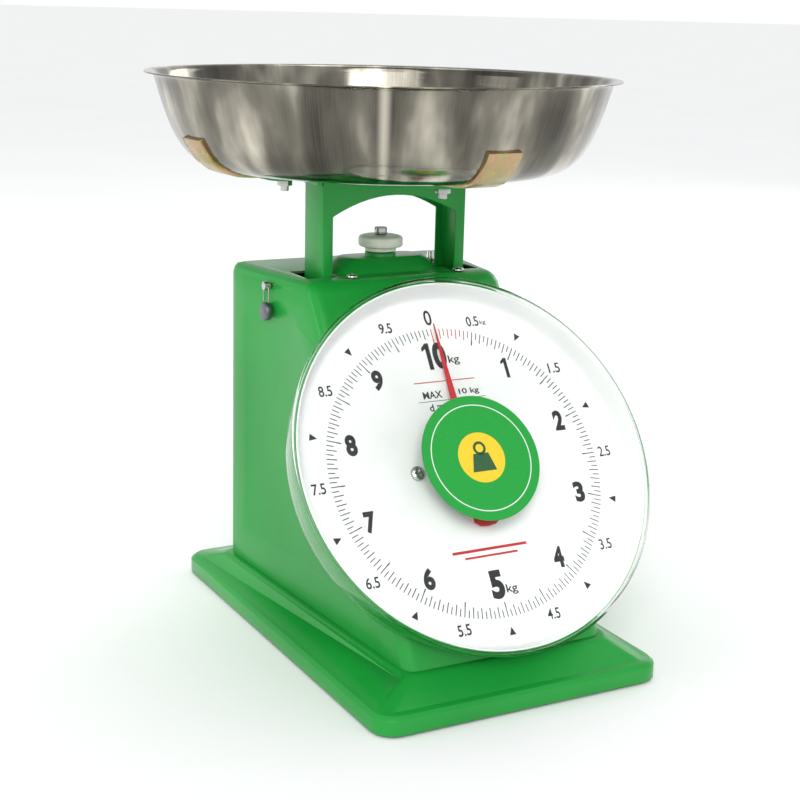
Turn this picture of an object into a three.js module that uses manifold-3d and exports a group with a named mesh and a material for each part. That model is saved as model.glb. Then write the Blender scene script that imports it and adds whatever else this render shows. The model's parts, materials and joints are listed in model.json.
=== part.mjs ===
// Spring dial scale with a round steel bowl: housing, base, dial, bridge, bowl and the whole
// weighing mechanism. Millimetres, +Z up, dial towards -Y, origin under the middle of the object.
import * as THREE from "three";
import { mergeVertices } from "three/addons/utils/BufferGeometryUtils.js";
import Module from "manifold-3d";

const wasm = await Module();
wasm.setup();

// ---------- driving dimensions ----------
const GAP = 0.35; // clearance between pieces that rest on each other
const SHEET = 1.5; // steel sheet of the housing, base and bridge

const BASE = { halfWidth: 90.2, front: -161.5, back: 121.5, rimLow: 1.5, rimHigh: 10, corner: 13 };
const PLATEAU = { z: 24.2, margin: 4 };

const HOUSING = { bottom: 24.55, top: 213.4, front: 63.3, rear: 76, toe: -139, back: 80.8, corner: 8 };
const REAR_COVER = { halfWidth: 55, low: 40, high: 182, lap: 7 };
const TOP_SCREWS = { left: [-31.5, -2.5], right: [40.5, -2.5] };
const LOCK_SCREW = [44, 39.5];
const SEAL = { x: -69.1, y: 29, z: 206 };
const TILT = THREE.MathUtils.degToRad(34); // dial and front face lean back from the vertical

const DIAL = { y: -89.3, z: 116.5, faceGap: 10, plate: 102, rim: 107.8, rimHeight: 13.5 };
const COVER = { front: 110.8, rear: 105.3, depth: 17, wall: 1.6, lift: 1.2 };
const BADGE = { radius: 36.5, thickness: 0.4 };
const DIAL_SCREW = { x: 32.5, head: 4.5 };

const TRAVEL = 20.84; // bridge travel from empty to full load, one turn of the pointer
const SHAFT = { radius: 1.5, front: 7, rear: 53 };
const PINION = { module: 0.5, teeth: 11, front: -26, rear: -46, bore: 1.85 };
const PITCH = (PINION.module * PINION.teeth) / 2;
const TOOTH = { half: 0.3, add: 0.4, ded: 0.6, slope: Math.tan(THREE.MathUtils.degToRad(20)) };
const RACK = { front: -28, rear: -32, low: -4, high: 31, back: 8 };
const BRACKET = { front: -12.2, rear: -50, left: -20, half: 9 };

const POST = { outer: 47.8, inner: 41, front: 3.8, back: 29, low: 165, top: 269.6 };
const POST_SLOT = { inner: 38.9, outer: 57.5, front: 2.2, back: 30.6 };
const ARCH = { side: 248.5, crown: 260 };
const BOWL = { y: 22.6, floor: 275.2, wall: 0.9 };
const BOWL_OUTLINE = [ // outside of the bowl from its middle to the rim, [radius, height above the floor]
  [0, 0], [92, 0], [101, 0.7], [108, 2.9], [115, 8], [120.4, 15.2], [125, 24], [130, 37], [133.8, 50],
  [135.2, 53], [141, 53.8],
];
const ARMS = { right: 0, rear: 1, left: 2, front: 3 }; // quarter turns of the tray spider's arms
const CROSS = { turn: THREE.MathUtils.degToRad(4), width: 22, thickness: 2.3, tip: [122.9, 20] };
const EAR = { width: 24, boltAt: 66, length: 79 };

const SPRING = { x: 28, y: 23, coil: 8.3, wire: 1, turns: 9, low: 82, high: 180 };
const HANGER = { low: 186, high: 191 };
const LEVER = { length: 60, fixedY: 70, upperZ: 138, lowerZ: 66 };
const PIN = { radius: 2, half: 47.5, fixedHalf: 53 };
const CARRIAGE = { inner: 44.2, outer: 45.8, low: 55, high: 190 };
const FOOT_BAR = { low: 58, high: 62, half: 4 };
const CROSS_BAR = { low: 116, high: 132, front: 10.6, back: 12.6 };
const KNOB = { y: 22.6, low: 224.4, high: 234, radius: 13.5, neck: 9.5 };

// ---------- colours ----------
function paint(color, roughness, metalness) {
  return new THREE.MeshStandardMaterial({ color, roughness, metalness });
}
const GREEN = () => paint("#2b9b41", 0.25, 0);
const STEEL = () => paint("#c9c9c4", 0.3, 1);
const STAINLESS = () => paint("#b5b2a8", 0.12, 1);
const ZINC = () => paint("#b3a36a", 0.3, 1);
const BRASS = () => paint("#c2a04e", 0.3, 1);
const WHITE = () => paint("#f2f2f0", 0.4, 0);
const CREAM = () => paint("#e9eddd", 0.5, 0);
const RED = () => paint("#c4121c", 0.35, 0);
const RUBBER = () => paint("#222222", 0.9, 0);
const LEAD = () => paint("#7d8285", 0.6, 1);

// ---------- geometry helpers ----------
function toSolid(geometry) {
  const bare = geometry.clone();
  bare.deleteAttribute("normal");
  bare.deleteAttribute("uv");
  const merged = mergeVertices(bare, 1e-4);
  const vertProperties = new Float32Array(merged.attributes.position.array);
  const triVerts = new Uint32Array(merged.index.array);
  return new wasm.Manifold(new wasm.Mesh({ numProp: 3, vertProperties, triVerts }));
}

function toGeometry(solid) {
  const mesh = solid.getMesh();
  const geometry = new THREE.BufferGeometry();
  geometry.setAttribute("position", new THREE.BufferAttribute(mesh.vertProperties, 3));
  geometry.setIndex(new THREE.BufferAttribute(mesh.triVerts, 1));
  geometry.computeVertexNormals();
  return geometry;
}

const union = (...solids) => solids.reduce((sum, next) => sum.add(next));
const cut = (body, ...tools) => tools.reduce((left, tool) => left.subtract(tool), body);

function box(x0, x1, y0, y1, z0, z1) {
  const geometry = new THREE.BoxGeometry(x1 - x0, y1 - y0, z1 - z0);
  return toSolid(geometry.translate((x0 + x1) / 2, (y0 + y1) / 2, (z0 + z1) / 2));
}

// a straight round bar from one point to another
function rod(radius, from, to, sides = 16) {
  const start = new THREE.Vector3(...from);
  const end = new THREE.Vector3(...to);
  const along = end.clone().sub(start);
  const geometry = new THREE.CylinderGeometry(radius, radius, along.length(), sides);
  const direction = along.clone().normalize();
  const turn = new THREE.Quaternion().setFromUnitVectors(new THREE.Vector3(0, 1, 0), direction);
  geometry.applyQuaternion(turn).translate(...start.add(end).multiplyScalar(0.5));
  return toSolid(geometry);
}

// a closed [radius, z] outline spun round the Z axis
function spin(points, sides = 40) {
  const outline = points.map(([r, z]) => new THREE.Vector2(r, z));
  const closed = points[0][0] === 0 && points.at(-1)[0] === 0;
  if (!closed) outline.push(outline[0].clone());
  const solid = toSolid(new THREE.LatheGeometry(outline, sides).rotateX(Math.PI / 2));
  return solid.volume() < 0 ? toSolid(flipped(outline, sides)) : solid;
}

function flipped(outline, sides) {
  return new THREE.LatheGeometry([...outline].reverse(), sides).rotateX(Math.PI / 2);
}

// a flat outline of [x, y] points given a thickness upwards from z
function slab(points, z, thickness) {
  const shape = new THREE.Shape(points.map(([x, y]) => new THREE.Vector2(x, y)));
  const geometry = new THREE.ExtrudeGeometry(shape, { depth: thickness, bevelEnabled: false });
  return toSolid(geometry.translate(0, 0, z));
}

// a flat outline of [y, z] points given a thickness along X from x
function sideSlab(points, x, thickness) {
  const shape = new THREE.Shape(points.map(([y, z]) => new THREE.Vector2(y, z)));
  const geometry = new THREE.ExtrudeGeometry(shape, { depth: thickness, bevelEnabled: false });
  const axes = new THREE.Matrix4().set(0, 0, 1, x, 1, 0, 0, 0, 0, 1, 0, 0, 0, 0, 0, 1);
  return toSolid(geometry.applyMatrix4(axes));
}

// four corners, each rounded by the same number of points
function roundedQuad(corners, radius, steps = 4) {
  const points = [];
  corners.forEach((corner, i) => {
    const before = corners[(i + 3) % 4];
    const after = corners[(i + 1) % 4];
    const a = new THREE.Vector2(before[0] - corner[0], before[1] - corner[1]).normalize();
    const b = new THREE.Vector2(after[0] - corner[0], after[1] - corner[1]).normalize();
    const half = Math.acos(a.dot(b)) / 2;
    const bisector = a.clone().add(b).normalize();
    const tip = new THREE.Vector2(...corner);
    const centre = bisector.clone().multiplyScalar(radius / Math.sin(half)).add(tip);
    const first = a.multiplyScalar(radius / Math.tan(half)).add(tip).sub(centre);
    const sweep = Math.PI - 2 * half;
    for (let step = 0; step <= steps; step++) {
      const spot = first.clone().rotateAround(new THREE.Vector2(), (sweep * step) / steps).add(centre);
      points.push([spot.x, spot.y]);
    }
  });
  return points;
}

// skins stacked outlines {z, points}, each with the same number of points, bottom first
function loft(rings) {
  const count = rings[0].points.length;
  const positions = rings.flatMap(({ z, points }) => points.flatMap(([x, y]) => [x, y, z]));
  const faces = [];
  for (let ring = 0; ring + 1 < rings.length; ring++) {
    for (let i = 0; i < count; i++) {
      const [a, b] = [ring * count + i, ring * count + ((i + 1) % count)];
      faces.push(a, b, b + count, a, b + count, a + count);
    }
  }
  const cap = ({ points }, base, up) => {
    const outline = points.map(([x, y]) => new THREE.Vector2(x, y));
    THREE.ShapeUtils.triangulateShape(outline, []).forEach(([a, b, c]) => {
      faces.push(base + a, base + (up ? b : c), base + (up ? c : b));
    });
  };
  cap(rings[0], 0, false);
  cap(rings.at(-1), (rings.length - 1) * count, true);
  const geometry = new THREE.BufferGeometry();
  geometry.setAttribute("position", new THREE.Float32BufferAttribute(positions, 3));
  geometry.setIndex(faces);
  return toSolid(geometry);
}

// a five-sided wire that follows a curve
function wireAlong(extrudePath, radius, steps) {
  const corners = Array.from({ length: 5 }, (_, i) => {
    return new THREE.Vector2(radius, 0).rotateAround(new THREE.Vector2(), (i * 2 * Math.PI) / 5);
  });
  const section = new THREE.Shape(corners);
  return new THREE.ExtrudeGeometry(section, { steps, extrudePath, bevelEnabled: false });
}

const object = new THREE.Group();

function addPiece(name, solid, material, parent = object) {
  const mesh = new THREE.Mesh(toGeometry(solid), material);
  mesh.name = name;
  parent.add(mesh);
  return mesh;
}

// ---------- base and housing ----------
const faceY = (z) => HOUSING.toe + (z - HOUSING.bottom) * Math.tan(TILT);

function baseRing(z, inset) {
  const { halfWidth, front, back, corner } = BASE;
  const [x, y0, y1] = [halfWidth - inset, front + inset, back - inset];
  const corners = [[-x, y0], [x, y0], [x, y1], [-x, y1]];
  return { z, points: roundedQuad(corners, corner - Math.min(inset * 0.5, 4)) };
}

function plateauRing(z, margin) {
  const { front, rear, toe, back, corner } = HOUSING;
  const [y0, y1] = [toe - margin, back + margin];
  const corners = [[-front - margin, y0], [front + margin, y0], [rear + margin, y1], [-rear - margin, y1]];
  return { z, points: roundedQuad(corners, corner) };
}

function baseForm(drop, inset) {
  const { rimLow, rimHigh } = BASE;
  return loft([
    baseRing(rimLow - drop * 2, inset),
    baseRing(rimHigh - drop, inset),
    baseRing(rimHigh + 2 - drop, inset + 2),
    baseRing(rimHigh + 2.6 - drop, inset + 5.5),
    plateauRing(PLATEAU.z - 1.5 - drop, PLATEAU.margin + 1 - inset),
    plateauRing(PLATEAU.z - drop, PLATEAU.margin - 1.5 - inset),
  ]);
}

function addBase() {
  const shell = cut(baseForm(0, 0), baseForm(SHEET, SHEET));
  addPiece("base_pan", shell, GREEN());
  const spots = {
    front_left: [-78, -149.5], front_right: [78, -149.5], rear_left: [-78, 109.5], rear_right: [78, 109.5],
  };
  Object.entries(spots).forEach(([place, [x, y]]) => {
    const foot = spin([[0, 0], [6, 0], [7, 1], [6.4, 9.8], [0, 9.8]], 16).translate([x, y, 0]);
    addPiece(`foot_${place}`, foot, RUBBER());
  });
}

function housingRing(z, inset) {
  const { front, rear, back, corner } = HOUSING;
  const y0 = faceY(z) + inset / Math.cos(TILT);
  const [x0, x1, y1] = [front - inset, rear - inset, back - inset];
  const corners = [[-x0, y0], [x0, y0], [x1, y1], [-x1, y1]];
  return { z, points: roundedQuad(corners, corner - Math.min(inset, 3)) };
}

function domeForm(grow) {
  const ring = (z, halfX, halfY, corner) => {
    const [x, y] = [halfX + grow, halfY + grow];
    const corners = [[-x, KNOB.y - y], [x, KNOB.y - y], [x, KNOB.y + y], [-x, KNOB.y + y]];
    return { z: z + grow, points: roundedQuad(corners, corner + grow) };
  };
  const { top } = HOUSING;
  return loft([
    ring(top - 1, 36, 17.5, 15),
    ring(top + 1.2, 34.5, 16, 14),
    ring(top + 6.5, 29.5, 12.5, 11),
    ring(top + 8.2, 26.5, 10, 8.5),
  ]);
}

const DIAL_MATRIX = new THREE.Matrix4()
  .makeTranslation(0, DIAL.y, DIAL.z)
  .multiply(new THREE.Matrix4().makeRotationX(Math.PI / 2 - TILT));

// turns [x, up the dial, out of the dial] into the object's own axes
const fromDial = (x, up, out) => new THREE.Vector3(x, up, out).applyMatrix4(DIAL_MATRIX).toArray();

const REAR_SCREW = { x: REAR_COVER.halfWidth - 3.5, z: (REAR_COVER.low + REAR_COVER.high) / 2 };

function rearHole(side, radius) {
  const x = side * REAR_SCREW.x;
  return rod(radius, [x, HOUSING.back - 10, REAR_SCREW.z], [x, HOUSING.back + 10, REAR_SCREW.z]);
}

function addHousing() {
  const { bottom, top } = HOUSING;
  const outer = loft([
    housingRing(bottom, 0), housingRing(top - 6, 0), housingRing(top - 2.6, 1), housingRing(top - 0.8, 2.8),
    housingRing(top, 5.5),
  ]);
  const inner = loft([
    housingRing(bottom - 4, SHEET), housingRing(top - 6, SHEET), housingRing(top - 2.8, SHEET + 1.6),
    housingRing(top - SHEET, SHEET + 4),
  ]);
  const boss = rod(9.6, [0, KNOB.y, top + 6], [0, KNOB.y, top + 10.2], 32);
  const slot = (side) => {
    const [x0, x1] = [side * POST_SLOT.inner, side * POST_SLOT.outer].sort((a, b) => a - b);
    return box(x0, x1, POST_SLOT.front, POST_SLOT.back, top - 8, top + 3);
  };
  const { halfWidth, low, high, lap } = REAR_COVER;
  const screwHole = ([x, y], radius) => rod(radius, [x, y, top - 8], [x, y, top + 4], 16);
  const shell = cut(
    union(cut(outer, inner), boss, domeForm(0)),
    domeForm(-SHEET),
    rod(8, [0, KNOB.y, top - 4], [0, KNOB.y, top + 8.6]),
    rod(3.5, [0, KNOB.y, top], [0, KNOB.y, top + 14]),
    slot(-1), slot(1),
    rod(12, fromDial(0, 0, -30), fromDial(0, 0, -5), 32),
    box(-halfWidth + lap, halfWidth - lap, HOUSING.back - 6, HOUSING.back + 3, low + lap, high - lap),
    rearHole(-1, 1.6), rearHole(1, 1.6),
    screwHole(TOP_SCREWS.left, 2), screwHole(TOP_SCREWS.right, 2), screwHole(LOCK_SCREW, 2.6),
    rod(1.6, [SEAL.x - 6, SEAL.y, SEAL.z], [SEAL.x + 6, SEAL.y, SEAL.z], 12),
  );
  addPiece("housing_shell", shell, GREEN());
}

function addRearCover() {
  const { halfWidth, low, high } = REAR_COVER;
  const { back } = HOUSING;
  const corners = [[-halfWidth, low], [halfWidth, low], [halfWidth, high], [-halfWidth, high]];
  const toBack = (solid) => solid.rotate([90, 0, 0]).translate([0, back + GAP + 1.2, 0]);
  const plate = toBack(slab(roundedQuad(corners, 8), 0, 1.2));
  addPiece("rear_cover", cut(plate, rearHole(-1, 1.9), rearHole(1, 1.9)), GREEN());
  [["left", -1], ["right", 1]].forEach(([place, side]) => {
    const spot = [side * REAR_SCREW.x, back + GAP * 2 + 1.2, REAR_SCREW.z];
    const screw = spin([[0, 0], [3.4, 0], [3.1, 1.1], [1.8, 1.7], [0, 1.8]], 16);
    const driver = union(box(-2.4, 2.4, -0.4, 0.4, 0.9, 3), box(-0.4, 0.4, -2.4, 2.4, 0.9, 3));
    const whole = union(cut(screw, driver), rod(1.2, [0, 0, -8], [0, 0, 0.4], 12));
    addPiece(`rear_cover_screw_${place}`, whole.rotate([-90, 0, 0]).translate(spot), STEEL());
  });
}

// a domed cross-head screw standing on z = 0, its shank downwards
function crossScrew(head, shank, length) {
  const profile = [[0, 0], [1, 0], [0.93, 0.32], [0.55, 0.52], [0, 0.58]];
  const dome = spin(profile.map(([r, z]) => [r * head, z * head]), 16);
  const arm = head * 0.62;
  const driver = union(
    box(-arm, arm, -0.4, 0.4, head * 0.25, head),
    box(-0.4, 0.4, -arm, arm, head * 0.25, head),
  );
  return union(cut(dome, driver), rod(shank, [0, 0, -length], [0, 0, head * 0.1], 10));
}

function addTopScrews() {
  const { top } = HOUSING;
  const bar = cut(
    box(-50, 50, -6.5, 1.5, top - SHEET - GAP - 2.5, top - SHEET - GAP),
    ...Object.values(TOP_SCREWS).map(([x, y]) => rod(2, [x, y, 200], [x, y, 220], 16)),
  );
  addPiece("stop_bar", bar, STEEL());
  Object.entries(TOP_SCREWS).forEach(([place, [x, y]]) => {
    addPiece(`top_screw_${place}`, crossScrew(3.6, 1.6, 8).translate([x, y, top + GAP]), STEEL());
  });
  const profile = [[0, -9], [2.2, -9], [2.2, 0], [4, 0], [4, 1.6], [2.6, 1.6], [2.6, 5.5], [0, 5.5]];
  const collar = spin(profile, 14);
  const slotted = cut(collar, box(-4, 4, -0.5, 0.5, 3.9, 6));
  addPiece("lock_screw", slotted.translate([...LOCK_SCREW, top + GAP]), STEEL());
}

// ---------- dial ----------
const dialGroup = new THREE.Group();
dialGroup.applyMatrix4(DIAL_MATRIX);
object.add(dialGroup);
const dishGroup = new THREE.Group(); // the pan, plate and cover sit a little above the shaft's centre
dishGroup.position.y = COVER.lift;
dialGroup.add(dishGroup);

function addDial() {
  const { faceGap, plate, rim, rimHeight } = DIAL;
  const back = -faceGap + GAP;
  const pan = spin([
    [7, back], [95, back], [101, back + 2], [104, -5], [105, -1.6], [103.4, -1.6], [102.5, -4.8],
    [99.8, -6.7], [94.6, back + SHEET], [7, back + SHEET],
  ]);
  const post = (side) => rod(4, [side * DIAL_SCREW.x, 0, back], [side * DIAL_SCREW.x, 0, -1.6]);
  const hole = (side, radius) => rod(radius, [side * DIAL_SCREW.x, 0, -7], [side * DIAL_SCREW.x, 0, 3], 16);
  addPiece("dial_pan", cut(union(pan, post(-1), post(1)), hole(-1, 1.9), hole(1, 1.9)), GREEN(), dishGroup);

  const dish = spin([
    [4, -1.2], [plate, -1.2], [plate + 2.3, 0.2], [plate + 4.2, 4], [rim, rimHeight], [rim - 1, rimHeight],
    [plate + 3, 4.3], [plate + 1.5, 1.3], [plate - 0.5, 0], [4, 0],
  ]);
  addPiece("dial_plate", cut(dish, hole(-1, 1.9), hole(1, 1.9)), WHITE(), dishGroup);
  [["left", -1], ["right", 1]].forEach(([place, side]) => {
    const screw = crossScrew(DIAL_SCREW.head, 1.5, 6.2).translate([side * DIAL_SCREW.x, 0, GAP]);
    addPiece(`dial_screw_${place}`, screw, STEEL(), dishGroup);
  });
}

function addCover() {
  const { front, rear, depth, wall } = COVER;
  const back = -DIAL.faceGap + GAP;
  const glass = spin([
    [rear, back], [front, depth - 3], [front - 0.9, depth - 0.9], [front - 3, depth], [0, depth],
    [0, depth - wall], [front - 3.4, depth - wall], [front - wall, depth - 3.2], [rear - wall, back],
  ]);
  const cover = addPiece("clear_cover", glass, paint("#eef4ec", 0.05, 0), dishGroup);
  cover.material.transparent = true;
  cover.material.opacity = 0.25;
  const [low, high] = [depth + GAP, depth + GAP + BADGE.thickness];
  const badge = spin([[0, low], [BADGE.radius, low], [BADGE.radius, high], [0, high]]);
  addPiece("cover_badge", badge, paint("#00a032", 0.4, 0), dishGroup);
}

// ---------- pointer, shaft and pinion ----------
function addPointer() {
  const outline = [
    [0.25, 87.5], [1.3, 60], [3.4, 8], [3.6, -6], [7.4, -24], [8.2, -32], [5, -34.4], [0, -35],
    [-5, -34.4], [-8.2, -32], [-7.4, -24], [-3.6, -6], [-3.4, 8], [-1.3, 60], [-0.25, 87.5],
  ];
  const needle = cut(slab([...outline].reverse(), 4.6, 0.7), rod(3.2, [0, 0, 3], [0, 0, 7]));
  addPiece("pointer", needle, RED(), dialGroup);
  const hub = spin([
    [SHAFT.radius + GAP, 2.4], [4.6, 2.4], [4.6, 4.25], [2.85, 4.25], [2.85, 5.65], [4.2, 5.65], [4.2, 6.6],
    [SHAFT.radius + GAP, 6.6],
  ], 16);
  addPiece("pointer_hub", hub, BRASS(), dialGroup);
  const shaft = rod(SHAFT.radius, [0, 0, -SHAFT.rear], [0, 0, SHAFT.front]);
  addPiece("pointer_shaft", shaft, STEEL(), dialGroup);
}

// outline of the pinion with a tooth space on +X
function pinionOutline() {
  const { half, add, ded, slope } = TOOTH;
  const points = [];
  for (let tooth = 0; tooth < PINION.teeth; tooth++) {
    const angle = ((tooth + 0.5) * 2 * Math.PI) / PINION.teeth;
    const radial = [Math.cos(angle), Math.sin(angle)];
    const flank = [
      [PITCH - ded, -half - ded * slope], [PITCH + add, -half + add * slope],
      [PITCH + add, half - add * slope], [PITCH - ded, half + ded * slope],
    ];
    flank.forEach(([r, t]) => points.push([r * radial[0] - t * radial[1], r * radial[1] + t * radial[0]]));
  }
  return points;
}

function rackOutline() {
  const { half, add, ded, slope } = TOOTH;
  const pitch = Math.PI * PINION.module;
  const points = [[RACK.back, RACK.high], [PITCH + ded, RACK.high]];
  const last = Math.floor((RACK.high - 1) / pitch);
  for (let tooth = last; tooth * pitch > RACK.low + 1; tooth--) {
    const y = tooth * pitch;
    points.push(
      [PITCH + ded, y + half + ded * slope], [PITCH - add, y + half - add * slope],
      [PITCH - add, y - half + add * slope], [PITCH + ded, y - half - ded * slope],
    );
  }
  points.push([PITCH + ded, RACK.low], [RACK.back, RACK.low]);
  return points;
}

function addGearing() {
  const wheel = slab(pinionOutline(), PINION.rear, PINION.front - PINION.rear);
  const bore = rod(PINION.bore, [0, 0, PINION.rear - 1], [0, 0, PINION.front + 1]);
  addPiece("pinion", cut(wheel, bore), BRASS(), dialGroup);
  addPiece("rack", slab(rackOutline(), RACK.rear, RACK.front - RACK.rear), BRASS(), dialGroup);
}

function addMovementBracket() {
  const { front, rear, left, half } = BRACKET;
  const plate = (z) => box(left, 8, -half, half, z - SHEET, z);
  const frame = union(
    box(left, 18, -15, 15, front - SHEET, front),
    plate(rear + SHEET),
    box(left, left + SHEET, -half, half, rear, front),
  );
  const holes = rod(4.4, [0, 0, rear - 3], [0, 0, front + 3], 24);
  addPiece("movement_bracket", cut(frame, holes), STEEL(), dialGroup);
  const bush = (z) => {
    const [bore, body, flange] = [SHAFT.radius + GAP, 4.4 - GAP, 6];
    return spin([
      [bore, z - SHEET - 1.5], [body, z - SHEET - 1.5], [body, z + GAP], [flange, z + GAP],
      [flange, z + 1.4], [bore, z + 1.4],
    ], 16);
  };
  addPiece("front_bush", bush(front), BRASS(), dialGroup);
  addPiece("rear_bush", bush(rear + SHEET), BRASS(), dialGroup);
}

// ---------- bridge, tray and bowl ----------
function archOutline() {
  const points = [[-POST.inner, POST.low - 2], [POST.inner, POST.low - 2], [POST.inner, ARCH.side]];
  const steps = 14;
  for (let step = 1; step < steps; step++) {
    const x = POST.inner * (1 - (2 * step) / steps);
    const rise = 1 - (x / POST.inner) ** 2;
    points.push([x, ARCH.side + (ARCH.crown - ARCH.side) * rise]);
  }
  points.push([-POST.inner, ARCH.side]);
  return points;
}

// a solid whose outline lies in X and Z, thick along Y
const across = (points, y0, y1) => slab(points, 0, y1 - y0).rotate([90, 0, 0]).translate([0, y1, 0]);

function addBridge() {
  const { outer, front, back, low, top } = POST;
  const outside = roundedQuad([[-outer, low], [outer, low], [outer, top], [-outer, top]], 3, 3);
  const squareFeet = box(-outer, outer, front, back, low, low + 6);
  const body = union(across(outside, front, back), squareFeet);
  const wall = outer - SHEET;
  const hollow = box(-wall, wall, front + SHEET, back - SHEET, low - 5, top - SHEET);
  addPiece("bridge_frame", cut(body, hollow, across(archOutline(), front - 5, back + 5)), GREEN());
}

const alongArm = (radius, arm, across_ = 0) => {
  const angle = CROSS.turn + (arm * Math.PI) / 2;
  return [
    radius * Math.cos(angle) - across_ * Math.sin(angle),
    BOWL.y + radius * Math.sin(angle) + across_ * Math.cos(angle),
  ];
};
const SPIDER_TOP = BOWL.floor - GAP;
const PLATE_TOP = SPIDER_TOP - CROSS.thickness - GAP;

function armSlab(arm, length, width, z, thickness) {
  const half = width / 2;
  const side = [[length - 6, half], [length - 1.8, half - 1.8], [length, half - 6]];
  const mirrored = side.map(([r, t]) => [r, -t]);
  const outline = [[0, half], [0, -half], ...mirrored, ...[...side].reverse()];
  return slab(outline.map(([r, t]) => alongArm(r, arm, t)), z, thickness);
}

function addTrayPlate() {
  const { outer, front, back } = POST;
  const cap = (grow, corner, z0, z1) => {
    const [x, y0, y1] = [outer + grow, front - grow, back + grow];
    return slab(roundedQuad([[-x, y0], [x, y0], [x, y1], [-x, y1]], corner, 6), z0, z1 - z0);
  };
  const lipLow = PLATE_TOP - 5.5;
  const body = cap(2.2, 6, lipLow, PLATE_TOP);
  const ears = Object.values(ARMS).map((arm) => armSlab(arm, EAR.length, EAR.width, PLATE_TOP - 2, 2));
  const room = cap(0.7, 0.4, lipLow - 1, PLATE_TOP - 2);
  const holes = Object.values(ARMS).map((arm) => {
    const [x, y] = alongArm(EAR.boltAt, arm);
    return rod(2.8, [x, y, 260], [x, y, 290], 16);
  });
  addPiece("tray_plate", cut(union(body, ...ears), room, ...holes), GREEN());
}

const BOWL_PROFILE = BOWL_OUTLINE.map(([r, z]) => [r, BOWL.floor + z]);

// the profile moved square to itself by a distance, outwards when positive
function offsetProfile(profile, distance) {
  return profile.map(([r, z], i) => {
    const [r0, z0] = profile[Math.max(i - 1, 0)];
    const [r1, z1] = profile[Math.min(i + 1, profile.length - 1)];
    const length = Math.hypot(r1 - r0, z1 - z0);
    return [Math.max(r + ((z1 - z0) / length) * distance, 0), z - ((r1 - r0) / length) * distance];
  });
}

function addBowl() {
  const inside = offsetProfile(BOWL_PROFILE, -BOWL.wall).reverse();
  inside[inside.length - 1][0] = 0;
  const bowl = spin([...BOWL_PROFILE, ...inside], 44).translate([0, BOWL.y, 0]);
  addPiece("bowl", bowl, STAINLESS());
}

function addSpider() {
  const { width, thickness, tip } = CROSS;
  const wanted = [...BOWL_PROFILE.slice(1, 6), [tip[0], BOWL.floor + tip[1]]];
  const inner = offsetProfile(wanted, GAP);
  const outer = offsetProfile(wanted, GAP + thickness);
  const outline = [[0, SPIDER_TOP], ...inner, ...outer.reverse(), [0, SPIDER_TOP - thickness]];
  const arms = Object.values(ARMS).map((arm) => {
    const strap = slab([...outline].reverse(), -width / 2, width).rotate([90, 0, 0]);
    const degrees = THREE.MathUtils.radToDeg(CROSS.turn) + arm * 90;
    return strap.rotate([0, 0, degrees]).translate([0, BOWL.y, 0]);
  });
  const seats = Object.values(ARMS).flatMap((arm) => {
    const [x, y] = alongArm(EAR.boltAt, arm);
    return [rod(5.2, [x, y, SPIDER_TOP - 1.2], [x, y, SPIDER_TOP + 5]), rod(2.8, [x, y, 260], [x, y, 290])];
  });
  addPiece("tray_spider", cut(union(...arms), ...seats), ZINC());
  Object.entries(ARMS).forEach(([place, arm]) => {
    const [x, y] = alongArm(EAR.boltAt, arm);
    const head = SPIDER_TOP - 1.2 + GAP;
    const disc = rod(4.8, [x, y, head], [x, y, SPIDER_TOP - 0.1], 24);
    const shank = rod(2.4, [x, y, PLATE_TOP - 9], [x, y, head + 0.2]);
    addPiece(`tray_bolt_${place}`, union(disc, shank), STEEL());
    const nutTop = PLATE_TOP - 2 - GAP;
    const hexagon = rod(4.4, [x, y, nutTop - 3.6], [x, y, nutTop], 6);
    const nut = cut(hexagon, rod(2.4 + GAP, [x, y, 240], [x, y, 280]));
    addPiece(`tray_nut_${place}`, nut, STEEL());
  });
}

// ---------- carriage inside the housing ----------
const LEVER_ANGLE = Math.asin(TRAVEL / 2 / LEVER.length); // each lever rests this far above level
const movingY = LEVER.fixedY - LEVER.length * Math.cos(LEVER_ANGLE);
const movingZ = (fixedZ) => fixedZ + LEVER.length * Math.sin(LEVER_ANGLE);
const LEVER_HEIGHTS = { upper: LEVER.upperZ, lower: LEVER.lowerZ };

function addCarriage() {
  const { inner, outer, low, high } = CARRIAGE;
  const { front, back } = POST;
  const [y0, y1] = [front + SHEET + GAP, back - SHEET - GAP];
  const pinHoles = Object.values(LEVER_HEIGHTS).map((z) => {
    const pinZ = movingZ(z);
    return rod(PIN.radius + GAP, [-70, movingY, pinZ], [70, movingY, pinZ]);
  });
  [["left", -outer], ["right", inner]].forEach(([place, x]) => {
    const plate = box(x, x + outer - inner, y0, y1, low, high);
    addPiece(`carriage_side_${place}`, cut(plate, ...pinHoles), STEEL());
  });
  const reach = inner - GAP;
  const springHole = (x) => rod(SPRING.wire + 0.6, [x, SPRING.y, 50], [x, SPRING.y, 70]);
  const { low: footLow, high: footHigh, half } = FOOT_BAR;
  const bar = box(-reach, reach, SPRING.y - half, SPRING.y + half, footLow, footHigh);
  const footBar = cut(bar, springHole(-SPRING.x), springHole(SPRING.x));
  addPiece("carriage_foot_bar", footBar, STEEL());
  const { low: barLow, high: barHigh, front: barFront, back: barBack } = CROSS_BAR;
  addPiece("carriage_cross_bar", box(-reach, reach, barFront, barBack, barLow, barHigh), STEEL());
}

// the strip that carries the rack, bolted face to face with the cross bar and bent round to the rack
function addBimetalArm() {
  const x0 = RACK.back + GAP;
  const [, rackTopY, rackTopZ] = fromDial(0, RACK.high - 2, RACK.front);
  const strip = [
    [CROSS_BAR.front - GAP, 118], [CROSS_BAR.front - GAP, 130], [rackTopY + 4, rackTopZ + 2],
    [rackTopY - 3, rackTopZ - 4], [rackTopY + 1, rackTopZ - 8], [rackTopY + 10, rackTopZ - 7],
  ];
  addPiece("bimetal_arm", sideSlab(strip, x0, 1.4), BRASS());
}

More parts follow.
